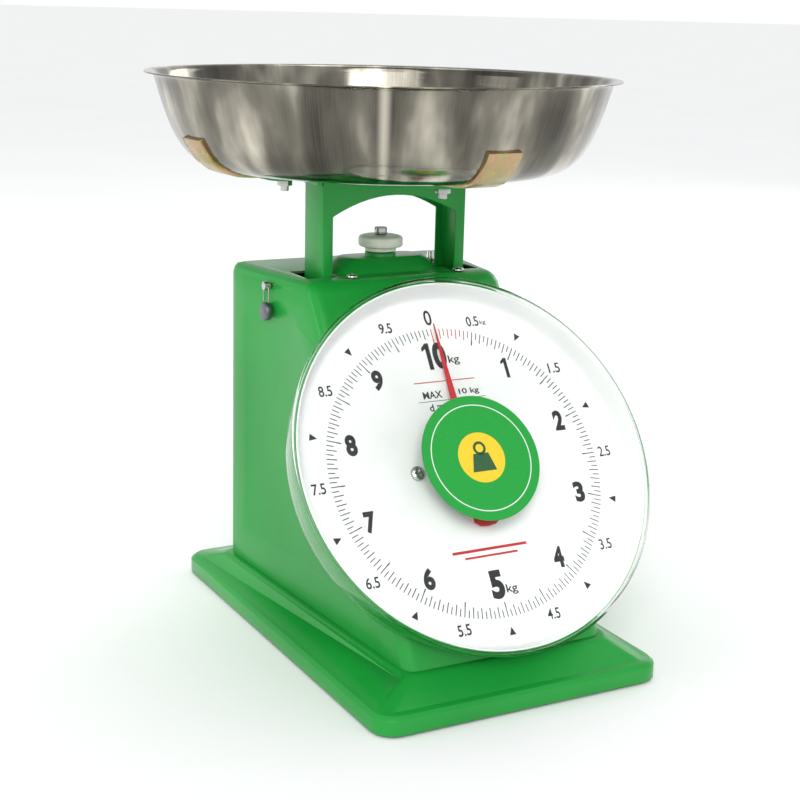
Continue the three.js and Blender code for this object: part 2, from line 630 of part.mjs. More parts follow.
function addLevers() {
  const { length, fixedY } = LEVER;
  const { radius, half, fixedHalf } = PIN;
  Object.entries(LEVER_HEIGHTS).forEach(([place, fixedZ]) => {
    const pinZ = movingZ(fixedZ);
    const fixedPin = rod(radius, [-fixedHalf, fixedY, fixedZ], [fixedHalf, fixedY, fixedZ]);
    addPiece(`${place}_fixed_pin`, fixedPin, STEEL());
    const movingPin = rod(radius, [-half, movingY, pinZ], [half, movingY, pinZ]);
    addPiece(`${place}_moving_pin`, movingPin, STEEL());
    const web = box(-12, 12, -length, 0, -1.2, 1.2);
    const hubs = union(rod(4.4, [-26, 0, 0], [26, 0, 0]), rod(5, [-17, -length, 0], [17, -length, 0]));
    const fixedBore = rod(radius + GAP, [-30, 0, 0], [30, 0, 0]);
    const slackBore = rod(radius + 1.2, [-30, -length, 0], [30, -length, 0]);
    const lever = cut(union(web, hubs), fixedBore, slackBore);
    const degrees = -THREE.MathUtils.radToDeg(LEVER_ANGLE);
    addPiece(`${place}_lever`, lever.rotate([degrees, 0, 0]).translate([0, fixedY, fixedZ]), STEEL());
  });
}

function addSupportBrackets() {
  const z0 = PLATEAU.z + GAP;
  [["left", -1], ["right", 1]].forEach(([place, side]) => {
    const [x0, x1] = [side * 46, side * 48].sort((a, b) => a - b);
    const [f0, f1] = [side * 46, side * 62].sort((a, b) => a - b);
    const upright = union(box(x0, x1, 61, 78, z0, 150), box(f0, f1, 52, 78, z0, z0 + 2));
    const holes = Object.values(LEVER_HEIGHTS).map((z) => {
      return rod(PIN.radius + GAP, [-80, LEVER.fixedY, z], [80, LEVER.fixedY, z]);
    });
    addPiece(`support_bracket_${place}`, cut(upright, ...holes), STEEL());
  });
}

// ---------- springs and zero adjustment ----------
class SpringPath extends THREE.Curve {
  getPoint(t, target = new THREE.Vector3()) {
    const { coil, turns, low, high } = SPRING;
    const tail = 19; // straight ends above and below the coil
    const total = high - low + 2 * tail;
    const height = low - tail + t * total;
    const along = THREE.MathUtils.clamp((height - low) / (high - low), 0, 1);
    const end = Math.min(along, 1 - along) / 0.06;
    const radius = coil * THREE.MathUtils.smoothstep(end, 0, 1);
    const angle = along * turns * 2 * Math.PI;
    return target.set(radius * Math.cos(angle), radius * Math.sin(angle), height);
  }
}

function springSolid() {
  const { wire, low, high } = SPRING;
  const geometry = wireAlong(new SpringPath(), wire, 110);
  const lowButton = rod(2.9, [0, 0, FOOT_BAR.low - 4], [0, 0, FOOT_BAR.low - 1.3], 16);
  const highButton = rod(2.9, [0, 0, HANGER.high + 1.3], [0, 0, HANGER.high + 4], 16);
  const trim = box(-20, 20, -20, 20, FOOT_BAR.low - 3, HANGER.high + 3);
  const kept = toSolid(geometry).intersect(trim);
  const tails = [[low - 6, FOOT_BAR.low - 2], [high + 6, HANGER.high + 2]];
  const stubs = tails.map(([from, to]) => rod(wire, [0, 0, from], [0, 0, to], 12));
  return union(kept, lowButton, highButton, ...stubs);
}

function addSprings() {
  const spring = springSolid();
  addPiece("spring_left", spring.translate([-SPRING.x, SPRING.y, 0]), STEEL());
  addPiece("spring_right", spring.translate([SPRING.x, SPRING.y, 0]), STEEL());
  const hole = (x, y, radius) => rod(radius, [x, y, 180], [x, y, 200], 20);
  const wireHole = (x) => hole(x, SPRING.y, SPRING.wire + 0.6);
  const yoke = cut(
    box(-38, 38, SPRING.y - 7, SPRING.y + 7, HANGER.low, HANGER.high),
    hole(0, KNOB.y, 3.4), wireHole(-SPRING.x), wireHole(SPRING.x),
  );
  addPiece("spring_hanger", yoke, STEEL());
}

function addZeroKnob() {
  const { y, low, high, radius, neck } = KNOB;
  const bore = 3.4;
  const knob = spin([
    [bore, low], [neck, low], [neck, low + 2.2], [radius - 0.8, low + 3], [radius, low + 4.2],
    [radius, high - 2], [radius - 1.2, high - 0.6], [radius - 4, high], [bore, high],
  ], 24);
  addPiece("zero_knob", knob.translate([0, y, 0]), CREAM());
  const shank = rod(3, [0, 0, 178], [0, 0, high + 1], 20);
  const head = rod(3.9, [0, 0, high + GAP], [0, 0, high + 4.6], 20);
  const slot = box(-5, 5, -0.6, 0.6, high + 3.2, high + 6);
  addPiece("zero_screw", cut(union(shank, head), slot).translate([0, y, 0]), STEEL());
}

// ---------- inspection seal on the left wall ----------
function addSeal() {
  const { x, y, z } = SEAL;
  const screw = union(
    rod(1.2, [x - 2, y, z], [x + 4, y, z], 12), rod(2.6, [x - 5.2, y, z], [x - 1.6, y, z], 16),
  );
  const wireHole = rod(1.15, [x - 3.4, y - 6, z], [x - 3.4, y + 6, z], 10);
  addPiece("seal_screw", cut(screw, wireHole), STEEL());
  const loop = new THREE.CatmullRomCurve3([
    [0, -3.4, -9.6], [0, -3.9, -5], [0, -3.6, -1], [0, -2.2, 0], [0, 0, 0],
    [0, 2.2, 0], [0, 3.6, -1], [0, 3.9, -5], [0, 3.4, -9.6],
  ].map(([dx, dy, dz]) => new THREE.Vector3(x - 3.4 + dx, y + dy, z + dz)));
  addPiece("seal_wire", toSolid(wireAlong(loop, 0.4, 20)), STEEL());
  const lead = spin([[0, -2.4], [4.6, -2.4], [5.6, -1.2], [5.6, 1.2], [4.6, 2.4], [0, 2.4]], 16);
  const disc = lead.rotate([0, 90, 0]).translate([x - 3.4, y, z - 10.2 - 5.2]);
  addPiece("lead_seal", disc, LEAD());
}

addBase();
addHousing();
addRearCover();
addTopScrews();
addDial();
addCover();
addPointer();
addGearing();
addMovementBracket();
addBridge();
addTrayPlate();
addSpider();
addBowl();
addCarriage();
addBimetalArm();
addLevers();
addSupportBrackets();
addSprings();
addZeroKnob();
addSeal();

export default object;
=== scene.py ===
"""Looks of a spring dial platform scale with a round bowl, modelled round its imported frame."""

import json
import math

import bpy
from bpy.props import FloatProperty, FloatVectorProperty, IntProperty, PointerProperty
from mathutils import Matrix, Vector

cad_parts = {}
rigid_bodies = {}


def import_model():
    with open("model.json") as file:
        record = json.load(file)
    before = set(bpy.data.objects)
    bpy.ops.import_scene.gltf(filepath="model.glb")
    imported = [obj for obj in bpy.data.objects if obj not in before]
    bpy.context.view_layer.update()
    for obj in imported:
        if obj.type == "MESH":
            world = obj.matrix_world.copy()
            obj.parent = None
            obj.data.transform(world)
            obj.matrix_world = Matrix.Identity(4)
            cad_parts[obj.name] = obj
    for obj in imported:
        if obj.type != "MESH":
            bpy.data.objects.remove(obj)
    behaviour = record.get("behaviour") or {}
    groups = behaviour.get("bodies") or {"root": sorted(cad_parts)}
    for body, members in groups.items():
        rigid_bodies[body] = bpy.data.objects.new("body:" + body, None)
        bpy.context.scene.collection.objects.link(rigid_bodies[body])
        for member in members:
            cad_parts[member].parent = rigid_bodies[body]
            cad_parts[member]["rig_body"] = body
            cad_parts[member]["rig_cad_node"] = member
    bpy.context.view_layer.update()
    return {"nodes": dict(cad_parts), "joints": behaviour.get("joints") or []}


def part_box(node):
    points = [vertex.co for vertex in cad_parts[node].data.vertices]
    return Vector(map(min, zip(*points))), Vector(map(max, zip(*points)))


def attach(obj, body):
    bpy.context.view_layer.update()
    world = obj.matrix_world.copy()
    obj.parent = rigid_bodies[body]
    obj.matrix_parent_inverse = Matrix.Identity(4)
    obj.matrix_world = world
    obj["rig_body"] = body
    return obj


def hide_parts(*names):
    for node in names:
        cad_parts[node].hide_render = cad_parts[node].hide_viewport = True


bl_info = {
    "name": "Dial platform scale",
    "version": (1, 0, 0),
    "blender": (4, 5, 0),
    "location": "View3D > Sidebar > Dial scale",
    "description": "Models the finished pieces of a spring dial scale round its packed frame",
    "category": "Add Mesh",
}

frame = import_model()

MM = 0.001
SHAFT = next(joint for joint in frame["joints"] if joint["name"] == "pointer_turn")
OUT = -Vector(SHAFT["axis"]).normalized()
UP_THE_DIAL = OUT.cross(Vector((1, 0, 0)))
DIAL = Matrix.Translation(SHAFT["pos_m"]) @ Matrix(
    (Vector((1, 0, 0)), UP_THE_DIAL, OUT)
).transposed().to_4x4()
DISH_LIFT = 1.2  # millimetres that the pan, plate and cover sit above the shaft's centre
BOWL_CENTRE = (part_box("bowl")[0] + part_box("bowl")[1]) / 2
BOWL_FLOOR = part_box("bowl")[0].z
KNOB_Y = ((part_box("zero_knob")[0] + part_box("zero_knob")[1]) / 2).y
HOUSING_TOP = 0.2134
SLOT_MIDDLE = (0.0482, 0.0164)  # x and y of the middle of a slot that a bridge post goes down through
SLOT_HALF = (0.0093, 0.0142)
PAINTED_HIGHLIGHT_ANGLE = -2.05  # where the bowl's painted highlight stripe is, in radians round its axis, on the side that faces the camera
LEAN = math.radians(34)  # of the housing's front from the upright
FULL_TURN = 2 * math.pi


# ---------------------------------------------------------------- sizes and colours


def length(name, description, default):
    return FloatProperty(name=name, description=description, default=default, unit="LENGTH", precision=4)


def colour(name, description, default):
    return FloatVectorProperty(
        name=name, description=description, default=default, subtype="COLOR", size=3, min=0, max=1
    )


class ScaleSizes(bpy.types.PropertyGroup):
    """Sizes that a user of the scale would change."""

    sheet_edge: length("Sheet edge", "Rounding of the sheet metal's folded edges", 0.0011)
    fine_edge: length("Fine edge", "Rounding of the edges of small fittings", 0.00025)
    bowl_wall: length("Bowl wall", "Thickness of the bowl's sheet", 0.0009)
    panel_depth: length("Panel depth", "How far the side panels are pressed in", 0.0009)
    tick_radius: length("Tick radius", "Radius of the ring that the ticks hang from", 0.086)
    round_steps: IntProperty(
        name="Round steps", description="Straight steps in each large turned shape", default=144
    )


class ScaleColours(bpy.types.PropertyGroup):
    """Colours that a user of the scale would change."""

    enamel: colour("Enamel", "Baked enamel of the housing", (0.010, 0.315, 0.040))
    face: colour("Dial face", "White of the dial", (0.82, 0.82, 0.83))
    ink: colour("Ink", "Print on the dial", (0.006, 0.006, 0.007))
    red: colour("Red", "Pointer and the red print", (0.48, 0.006, 0.012))
    badge: colour("Badge", "Round label on the cover", (0.0, 0.33, 0.032))
    badge_middle: colour("Badge middle", "Disc in the middle of the label", (0.86, 0.60, 0.02))
    knob: colour("Knob", "Moulded plastic of the zero knob", (0.93, 0.93, 0.82))


# ---------------------------------------------------------------- materials


class Number:
    """A value that a material's nodes work out, used in ordinary arithmetic."""

    def __init__(self, paint, socket):
        self.paint = paint
        self.socket = socket

    def math(self, operation, *values):
        return self.paint.node("ShaderNodeMath", {"operation": operation}, dict(enumerate(values)))

    def __add__(self, other):
        return self.math("ADD", self, other)

    def __radd__(self, other):
        return self.math("ADD", other, self)

    def __sub__(self, other):
        return self.math("SUBTRACT", self, other)

    def __rsub__(self, other):
        return self.math("SUBTRACT", other, self)

    def __mul__(self, other):
        return self.math("MULTIPLY", self, other)

    def __rmul__(self, other):
        return self.math("MULTIPLY", other, self)

    def __truediv__(self, other):
        return self.math("DIVIDE", self, other)

    def __abs__(self):
        return self.math("ABSOLUTE", self)

    def __pow__(self, other):
        return self.math("POWER", self, other)


class Paint:
    """One material, and the nodes that vary it over a surface."""

    def __init__(self, name, settings):
        self.material = bpy.data.materials.new(name)
        self.material.use_nodes = True
        self.tree = self.material.node_tree
        self.shader = self.tree.nodes["Principled BSDF"]
        for socket, value in settings.items():
            self.shader.inputs[socket].default_value = value
        self.place = self.node("ShaderNodeTexCoord", output="Object")

    def node(self, kind, settings=None, inputs=None, output=0):
        made = self.tree.nodes.new(kind)
        for name, value in (settings or {}).items():
            if name == "stops":
                ramp = made.color_ramp.elements
                while len(ramp) < len(value):
                    ramp.new(0.5)
                for element, (position, tint) in zip(ramp, value):
                    element.position = position
                    element.color = (*tint, 1)
            else:
                setattr(made, name, value)
        for key, value in (inputs or {}).items():
            socket = made.inputs[key]
            if isinstance(value, Number):
                self.tree.links.new(value.socket, socket)
            else:
                socket.default_value = value
        return Number(self, made.outputs[output])

    def drive(self, socket, value):
        self.tree.links.new(value.socket, self.shader.inputs[socket])

    def axes(self):
        split = self.node("ShaderNodeSeparateXYZ", inputs={0: self.place})
        return [Number(self, socket) for socket in split.socket.node.outputs]

    def vector(self, x, y, z):
        return self.node("ShaderNodeCombineXYZ", inputs={0: x, 1: y, 2: z})

    def noise(self, scale, detail=2.0, vector=None, roughness=0.5):
        inputs = {"Vector": vector or self.place, "Scale": scale, "Detail": detail, "Roughness": roughness}
        return self.node("ShaderNodeTexNoise", inputs=inputs)

    def spread(self, value, low, high, to_low=0.0, to_high=1.0):
        inputs = {"Value": value, "From Min": low, "From Max": high, "To Min": to_low, "To Max": to_high}
        return self.node("ShaderNodeMapRange", {"interpolation_type": "SMOOTHSTEP"}, inputs)

    def ramp(self, value, *stops):
        return self.node("ShaderNodeValToRGB", {"stops": stops}, {0: value})

    def blend(self, factor, first, second):
        def full(tint):
            return tint if isinstance(tint, Number) else (*tint, 1)

        inputs = {0: factor, 6: full(first), 7: full(second)}
        return self.node("ShaderNodeMix", {"data_type": "RGBA"}, inputs, output=2)

    def bump(self, height, strength, distance):
        inputs = {"Height": height, "Strength": strength, "Distance": distance}
        self.drive("Normal", self.node("ShaderNodeBump", inputs=inputs))


def darker(tint, share):
    return tuple(share * part for part in tint)


def enamel_paint(name, tint, settings=None, bare_slots=False):
    """Glossy baked enamel over sheet steel, with orange peel and dust.

    On the housing the cut edges of the bridge's two slots show bare steel."""
    gloss = {"Specular IOR Level": 0.34, "Coat Weight": 0.1, "Coat Roughness": 0.05}
    paint = Paint(name, {**gloss, **(settings or {})})
    cloud = paint.noise(9, 3)
    speckle = paint.noise(650, 2)
    shade = paint.ramp(cloud, (0.3, darker(tint, 0.86)), (0.7, darker(tint, 1.1)))
    dust = paint.spread(speckle, 0.62, 0.8, 0.0, 0.12) * paint.spread(paint.noise(14, 2), 0.45, 0.7)
    shade = paint.blend(dust, shade, (0.45, 0.55, 0.45))
    rough = 0.24 + 0.14 * paint.noise(38, 4) + 0.3 * dust
    if bare_slots:
        x, y, z = paint.axes()
        (middle_x, middle_y), (half_x, half_y) = SLOT_MIDDLE, SLOT_HALF
        beyond_x = abs(abs(x) - middle_x) - half_x
        beyond_y = abs(y - middle_y) - half_y
        reach = beyond_x.math("MAXIMUM", beyond_x, beyond_y) + 0.0006 * (paint.noise(260, 2) - 0.5)
        near_the_top = paint.spread(z, HOUSING_TOP - 0.01, HOUSING_TOP - 0.004)
        bare = paint.spread(reach, 0.00035, 0.0008, 1.0, 0.0) * near_the_top
        shade = paint.blend(bare, shade, (0.62, 0.62, 0.58))
        paint.drive("Metallic", bare)
    paint.drive("Base Color", shade)
    paint.drive("Roughness", rough)
    paint.bump(paint.noise(420, 2) + 0.6 * paint.noise(95, 1), 0.06, 0.0006)
    return paint.material


def polished_paint(name, tint, centre):
    """Polished stainless sheet: painted reflections as broad bright and dark bands up the wall and blotches,
    a painted highlight stripe, fine rings left by the spinning lathe, smears.
    """
    paint = Paint(name, {"Metallic": 1.0})
    x, y, z = paint.axes()
    out = ((x - centre.x) ** 2 + (y - centre.y) ** 2) ** 0.5
    around = out.math("ARCTAN2", y - centre.y, x - centre.x)
    rings = paint.noise(1.0, 3, paint.vector(out * 900, z * 900, around * 1.5))
    grain = paint.noise(1.0, 3, paint.vector(around * 260, z * 26, out * 26))
    smear = paint.noise(16, 4)
    round_the_wall = paint.vector((x - centre.x) / out * 5, (y - centre.y) / out * 5, z * 10)
    painted_reflection_bands = paint.noise(1.0, 3, round_the_wall, 0.45)
    painted_reflection_blotch = paint.noise(1.0, 3, paint.vector(x * 26, y * 26, z * 15), 0.5)
    # painted reflections: the bands up the wall and the blotches set the steel's colour from near black to
    # bright, standing in for the dark and bright surroundings it mirrors
    tone = paint.ramp(
        0.6 * painted_reflection_bands + 0.4 * painted_reflection_blotch,
        (0.36, darker(tint, 0.14)),
        (0.46, darker(tint, 0.26)),
        (0.53, darker(tint, 0.46)),
        (0.59, darker(tint, 0.95)),
        (0.66, darker(tint, 1.6)),
    )
    # painted highlight: a bright stripe up the bowl on the side that faces the camera
    painted_highlight_stripe = paint.spread(abs(around - PAINTED_HIGHLIGHT_ANGLE), 0.0, 0.035, 0.75, 0.0)
    tone = paint.blend(painted_highlight_stripe, tone, darker(tint, 1.6))
    streak = paint.spread(grain, 0.42, 0.62, 0.0, 0.12)
    paint.drive("Base Color", paint.blend(streak, tone, darker(tint, 0.6)))
    paint.drive("Roughness", 0.06 + 0.1 * smear + 0.06 * rings)
    paint.bump(rings + 0.2 * grain + 26 * paint.noise(9, 1), 0.09, 0.00025)
    return paint.material


def plated_paint(name, first, second, rough):
    """Plated or bare steel with patches of tone and a fine drawn grain."""
    paint = Paint(name, {"Metallic": 1.0})
    patches = paint.noise(70, 4)
    grain = paint.noise(1440, 2)
    tone = paint.ramp(patches, (0.35, first), (0.65, second))
    drawn = paint.spread(grain, 0.5, 0.75, 0.0, 0.25)
    paint.drive("Base Color", paint.blend(drawn, tone, darker(first, 0.5)))
    paint.drive("Roughness", rough + 0.16 * patches)
    paint.bump(grain, 0.08, 0.0003)
    return paint.material


def zinc_paint():
    """Yellow chromate plating: olive gold that drifts to pink and green like an oil film."""
    paint = Paint("yellow_zinc_plating", {"Metallic": 1.0})
    drift = paint.noise(24, 3) + 0.25 * paint.noise(150, 2)
    tone = paint.ramp(
        drift,
        (0.34, (0.20, 0.22, 0.07)),
        (0.48, (0.36, 0.31, 0.11)),
        (0.58, (0.52, 0.33, 0.20)),
        (0.68, (0.44, 0.38, 0.18)),
        (0.80, (0.24, 0.27, 0.11)),
    )
    stretched = [axis * scale for axis, scale in zip(paint.axes(), (1400, 260, 260))]
    scratches = paint.noise(1.0, 2, paint.vector(*stretched))
    worn = paint.spread(scratches, 0.58, 0.75, 0.0, 0.3)
    paint.drive("Base Color", paint.blend(worn, tone, (0.75, 0.72, 0.55)))
    paint.drive("Roughness", 0.2 + 0.22 * paint.noise(60, 3))
    paint.bump(scratches, 0.06, 0.0003)
    return paint.material


def plastic_paint(name, tint, rough):
    """Moulded plastic with a faint grain and grubby low spots."""
    paint = Paint(name, {"Specular IOR Level": 0.5})
    cloud = paint.noise(120, 3)
    paint.drive("Base Color", paint.ramp(cloud, (0.3, darker(tint, 0.88)), (0.6, tint)))
    paint.drive("Roughness", rough + 0.15 * cloud)
    paint.bump(paint.noise(1600, 2), 0.08, 0.0002)
    return paint.material


def ink_paint(name, tint):
    """Screen-printed ink, slightly uneven in gloss."""
    paint = Paint(name, {})
    flecks = paint.noise(900, 2)
    paler = tuple(min(part + 0.012, 1) for part in tint)
    paint.drive("Base Color", paint.ramp(flecks, (0.3, tint), (0.75, paler)))
    paint.drive("Roughness", 0.35 + 0.2 * flecks)
    return paint.material


def clear_paint():
    """Clear moulded plastic that lamps shine through."""
    paint = Paint("clear_plastic", {"Transmission Weight": 1.0, "IOR": 1.2, "Roughness": 0.01})
    tone = paint.ramp(paint.noise(30, 2), (0.3, (0.97, 0.985, 0.97)), (0.7, (0.99, 0.995, 0.985)))
    paint.drive("Base Color", tone)
    output = paint.tree.nodes["Material Output"]
    shadow = paint.node("ShaderNodeLightPath", output="Is Shadow Ray")
    see_through = paint.node("ShaderNodeBsdfTransparent", inputs={0: (0.93, 0.96, 0.93, 1)})
    mixed = paint.node("ShaderNodeMixShader", inputs={0: shadow, 2: see_through})
    paint.tree.links.new(paint.shader.outputs[0], mixed.socket.node.inputs[1])
    paint.tree.links.new(mixed.socket, output.inputs["Surface"])
    return paint.material


def rubber_paint():
    """Black rubber with a dusty bloom."""
    paint = Paint("black_rubber", {})
    bloom = paint.noise(60, 4)
    paint.drive("Base Color", paint.ramp(bloom, (0.35, (0.012, 0.012, 0.013)), (0.7, (0.05, 0.05, 0.048))))
    paint.drive("Roughness", 0.65 + 0.25 * bloom)
    paint.bump(paint.noise(700, 3), 0.3, 0.0004)
    return paint.material


# ---------------------------------------------------------------- modelling helpers


def nothing_selected():
    if bpy.context.mode != "OBJECT":
        bpy.ops.object.mode_set(mode="OBJECT")
    bpy.ops.object.select_all(action="DESELECT")


def only(piece):
    nothing_selected()
    piece.select_set(True)
    bpy.context.view_layer.objects.active = piece


def editing(piece, kind="VERT"):
    only(piece)
    bpy.ops.object.mode_set(mode="EDIT")
    bpy.ops.mesh.select_mode(type=kind)
    bpy.ops.mesh.select_all(action="SELECT")


def done_editing():
    bpy.ops.object.mode_set(mode="OBJECT")


def applied(piece, kind, **settings):
    """Adds a modifier, sets it and applies it."""
    only(piece)
    modifier = piece.modifiers.new(kind.title(), kind)
    for name, value in settings.items():
        setattr(modifier, name, value)
    bpy.ops.object.modifier_apply(modifier=modifier.name)


def rounded(piece, width, segments=2, angle=30):
    limit = {"limit_method": "ANGLE", "angle_limit": math.radians(angle)}
    applied(piece, "BEVEL", width=width, segments=segments, **limit)


def moved(piece, matrix):
    """Turns and moves a piece, and puts the change into its mesh."""
    only(piece)
    piece.matrix_world = matrix @ piece.matrix_world
    bpy.ops.object.transform_apply(location=True, rotation=True, scale=True)
    return piece


def finished(piece, body, material, stands_for=(), smooth=35):
    """Smooths a piece, gives it its material and lets it ride on its body."""
    only(piece)
    bpy.ops.object.shade_smooth_by_angle(angle=math.radians(smooth))
    if material:
        piece.data.materials.clear()
        piece.data.materials.append(material)
    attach(piece, body)
    if stands_for:
        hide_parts(*stands_for)
    return piece


def outward(piece):
    editing(piece)
    bpy.ops.mesh.remove_doubles(threshold=1e-6)
    bpy.ops.mesh.normals_make_consistent(inside=False)
    done_editing()


def turned(name, outline, steps, closed=False, caps=True):
    """Rings of (radius, height) in millimetres, drawn up from one circle round Z.

    A closed outline comes back to its first ring. Otherwise its two ends can be capped."""
    nothing_selected()
    radius, height = outline[0]
    bpy.ops.mesh.primitive_circle_add(vertices=steps, radius=radius * MM, location=(0, 0, height * MM))
    piece = bpy.context.object
    piece.name = name
    bpy.ops.object.transform_apply(location=True)
    editing(piece)
    if caps and not closed:
        bpy.ops.mesh.edge_face_add()
        bpy.ops.mesh.select_all(action="SELECT")
        bpy.ops.mesh.duplicate()
        bpy.ops.mesh.delete(type="ONLY_FACE")
        bpy.ops.mesh.select_all(action="DESELECT")
        done_editing()
        for vertex in piece.data.vertices[steps:]:
            vertex.select = True
        bpy.ops.object.mode_set(mode="EDIT")
    ends = outline[1:] + ([outline[0]] if closed else [])
    for next_radius, next_height in ends:
        lift = (0, 0, (next_height - height) * MM)
        bpy.ops.mesh.extrude_region_move(TRANSFORM_OT_translate={"value": lift})
        share = next_radius / radius
        bpy.ops.transform.resize(value=(share, share, 1), center_override=(0, 0, 0))
        radius, height = next_radius, next_height
    if caps and not closed:
        bpy.ops.mesh.edge_face_add()
    outward(piece)
    return piece


def dressed(node, name, material, width, segments=2, angle=30, smooth=35, flat=0.4):
    """A copy of a CAD node with its triangles joined up and its edges rounded, standing for the node."""
    source = frame["nodes"][node]
    only(source)
    bpy.ops.object.duplicate()
    piece = bpy.context.object
    body = source["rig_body"]
    piece.parent = None
    piece.name = name
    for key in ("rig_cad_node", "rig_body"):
        del piece[key]
    editing(piece)
    bpy.ops.mesh.remove_doubles(threshold=1e-6)
    bpy.ops.mesh.dissolve_limited(angle_limit=math.radians(flat))
    done_editing()
    if width:
        rounded(piece, width, segments, angle)
    return finished(piece, body, material, [node], smooth=smooth)


def painted(material, *nodes):
    """Gives CAD nodes that keep their own shape a finished material."""
    for node in nodes:
        mesh = frame["nodes"][node].data
        mesh.materials.clear()
        mesh.materials.append(material)


def joined(name, pieces):
    nothing_selected()
    for piece in pieces:
        piece.select_set(True)
    bpy.context.view_layer.objects.active = pieces[0]
    if len(pieces) > 1:
        bpy.ops.object.join()
    piece = bpy.context.object
    piece.name = name
    return piece


def printed_text(words, height, width, x, y, weight=0.0, turn=0.0):
    """Figures drawn flat at a height and width in millimetres, centred at x and y on the dial."""
    nothing_selected()
    bpy.ops.object.text_add(location=(0, 0, 0))
    text = bpy.context.object
    text.data.body = words
    text.data.offset = weight
    text.data.resolution_u = 6
    text.data.extrude = 0.02
    bpy.ops.object.convert(target="MESH")
    text = bpy.context.object
    corners = [vertex.co for vertex in text.data.vertices]
    low = Vector([min(corner[i] for corner in corners) for i in range(3)])
    high = Vector([max(corner[i] for corner in corners) for i in range(3)])
    span = high - low
    tall = height * MM / span.y
    wide = width * MM / span.x if width else tall
    place = Matrix.Translation((x * MM, y * MM, 0.04 * MM)) @ Matrix.Rotation(turn, 4, "Z")
    size = Matrix.Diagonal((wide, tall, 0.03 * MM / span.z, 1))
    return moved(text, place @ size @ Matrix.Translation(-(low + high) / 2))


def printed_shape(points):
    """A flat outline of (x, y) points in millimetres, printed on the dial."""
    nothing_selected()
    bpy.ops.mesh.primitive_circle_add(vertices=len(points), radius=MM)
    shape = bpy.context.object
    for vertex, (x, y) in zip(shape.data.vertices, points):
        vertex.co = (x * MM, y * MM, 0.025 * MM)
    editing(shape)
    bpy.ops.mesh.edge_face_add()
    bpy.ops.mesh.extrude_region_move(TRANSFORM_OT_translate={"value": (0, 0, 0.03 * MM)})
    outward(shape)
    return shape


def printed_one(height, width, x, y):
    """A bold figure one with a short flag, centred at x and y on the dial."""
    outline = [(-0.02, -0.5), (0.5, -0.5), (0.5, 0.5), (0.06, 0.5), (-0.5, 0.33), (-0.5, 0.19), (-0.02, 0.29)]
    return printed_shape([(x + width * across, y + height * up) for across, up in outline])


def tick_ring(outer, inner, half_width, count):
    """Copies of one tick, set at equal steps round the dial."""
    half = half_width
    tick = printed_shape([(-half, inner), (half, inner), (half, outer), (-half, outer)])
    editing(tick)
    bpy.ops.mesh.spin(
        steps=count, dupli=True, angle=-FULL_TURN, use_auto_merge=False, center=(0, 0, 0), axis=(0, 0, 1)
    )
    outward(tick)
    return tick


def around_dial(kilograms, radius):
    angle = FULL_TURN * kilograms / 10
    return radius * math.sin(angle), radius * math.cos(angle)


def aimed(thing, target):
    thing.rotation_mode = "QUATERNION"
    thing.rotation_quaternion = (Vector(target) - thing.location).to_track_quat("-Z", "Y")


# ---------------------------------------------------------------- stage


class DIALSCALE_OT_stage(bpy.types.Operator):
    """Sets the pale floor, the soft lights and the camera"""

    bl_idname = "dialscale.stage"
    bl_label = "Stage"

    def execute(self, context):
        nothing_selected()
        bpy.ops.mesh.primitive_circle_add(vertices=96, radius=60, fill_type="NGON")
        floor = context.object
        floor.name = "floor"
        paint = Paint("floor_paper", {"Specular IOR Level": 0.0})
        tone = paint.ramp(paint.noise(3, 2), (0.3, (0.975, 0.975, 0.97)), (0.7, (0.99, 0.99, 0.985)))
        paint.drive("Base Color", tone)
        paint.drive("Roughness", 0.75 + 0.1 * paint.noise(40, 2))
        floor.data.materials.append(paint.material)

        world = bpy.data.worlds.new("studio")
        world.use_nodes = True
        context.scene.world = world
        nodes, links = world.node_tree.nodes, world.node_tree.links
        place = nodes.new("ShaderNodeTexCoord")
        split = nodes.new("ShaderNodeSeparateXYZ")
        rise = nodes.new("ShaderNodeValToRGB")
        stops = rise.color_ramp.elements
        stops[0].position, stops[0].color = 0.04, (1, 1, 1, 1)
        stops[1].position, stops[1].color = 0.34, (0.66, 0.67, 0.68, 1)
        links.new(place.outputs["Generated"], split.inputs[0])
        links.new(split.outputs["Z"], rise.inputs[0])
        links.new(rise.outputs[0], nodes["Background"].inputs["Color"])

        bpy.ops.object.light_add(type="SUN", location=(-0.9, -1.7, 1.4))
        sun = context.object
        sun.name = "soft_sun"
        sun.data.energy = 1.2
        sun.data.angle = math.radians(38)
        aimed(sun, (0, 0, 0))
        lamps = (
            ("key_light", (-1.1, -1.9, 1.5), 0.8, 6),
            ("side_light", (-2.0, 0.3, 0.9), 0.9, 5),
            ("top_light", (0.2, 0.6, 1.9), 1.0, 7),
            ("far_light", (2.1, 0.9, 1.0), 1.0, 6),
        )
        for name, spot, size, power in lamps:
            bpy.ops.object.light_add(type="AREA", location=spot)
            lamp = context.object
            lamp.name = name
            lamp.data.shape = "SQUARE"
            lamp.data.size = size
            lamp.data.energy = power
            aimed(lamp, (0, 0, 0.15))

        bpy.ops.object.camera_add(location=(-0.4356, -0.8070, 0.3693))
        camera = context.object
        camera.name = "camera"
        turn, tilt, roll = (math.radians(angle) for angle in (28.57, 14.28, 1.436))
        back = Vector((-math.sin(turn) * math.cos(tilt), -math.cos(turn) * math.cos(tilt), math.sin(tilt)))
        right = Vector((math.cos(turn), -math.sin(turn), 0))
        up = back.cross(right)
        level = Matrix((right, up, back)).transposed()
        camera.rotation_mode = "QUATERNION"
        camera.rotation_quaternion = (level @ Matrix.Rotation(roll, 3, "Z")).to_quaternion()
        camera.data.sensor_width = 36
        camera.data.lens = 69.93
        camera.data.clip_start = 0.02
        camera.data.clip_end = 200
        context.scene.camera = camera
        context.scene.view_settings.view_transform = "Standard"
        return {"FINISHED"}


# ---------------------------------------------------------------- pieces


